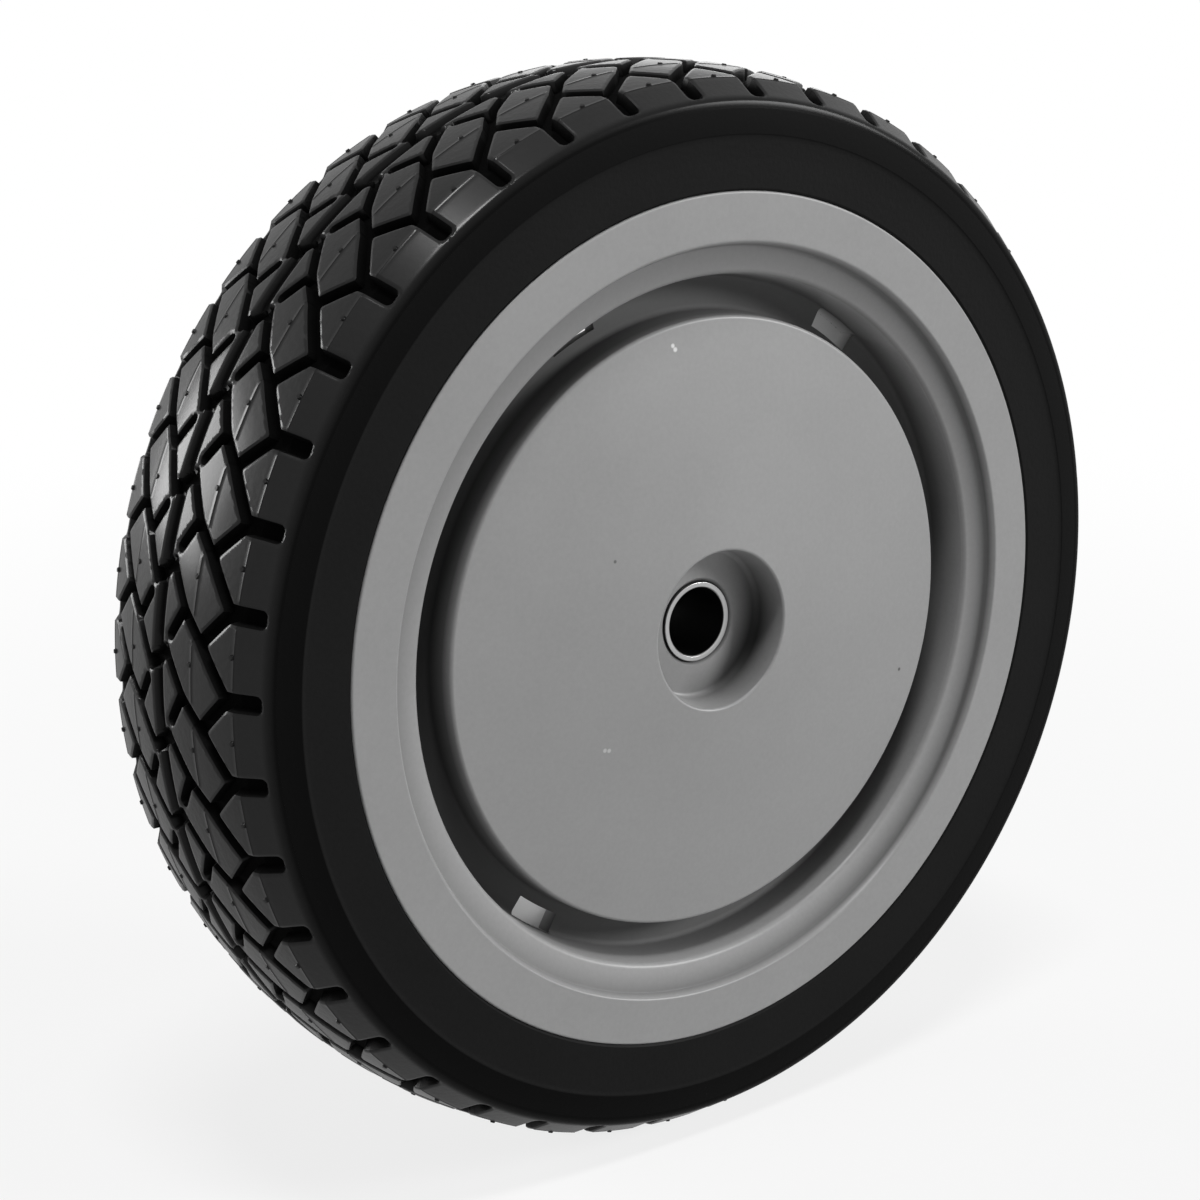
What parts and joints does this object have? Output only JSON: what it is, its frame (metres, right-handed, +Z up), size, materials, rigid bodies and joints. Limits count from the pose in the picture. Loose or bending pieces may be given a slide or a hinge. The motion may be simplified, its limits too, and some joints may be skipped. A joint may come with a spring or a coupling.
{
  "type": "mower wheel",
  "caption": "Lawn mower wheel: a rubber tyre with a zigzag block tread on a dished one-piece plastic hub, with a steel-sleeved bore that turns on a fixed axle.",
  "frame": {"origin": "the wheel's centre: on the axle's axis, midway across the hub's width", "axes": "the wheel turns about Y; the outer face looks along -Y, the mower is along +Y, and +Z is up"},
  "size_m": [0.2027, 0.0534, 0.2028],
  "materials": {
    "tyre": "matte moulded rubber",
    "hub": "satin moulded plastic",
    "axle_sleeve": "bright steel"
  },
  "bodies": {
    "root": {"tyre": "tyre", "hub": "hub", "axle_sleeve": "axle_sleeve"}
  },
  "joints": []
}
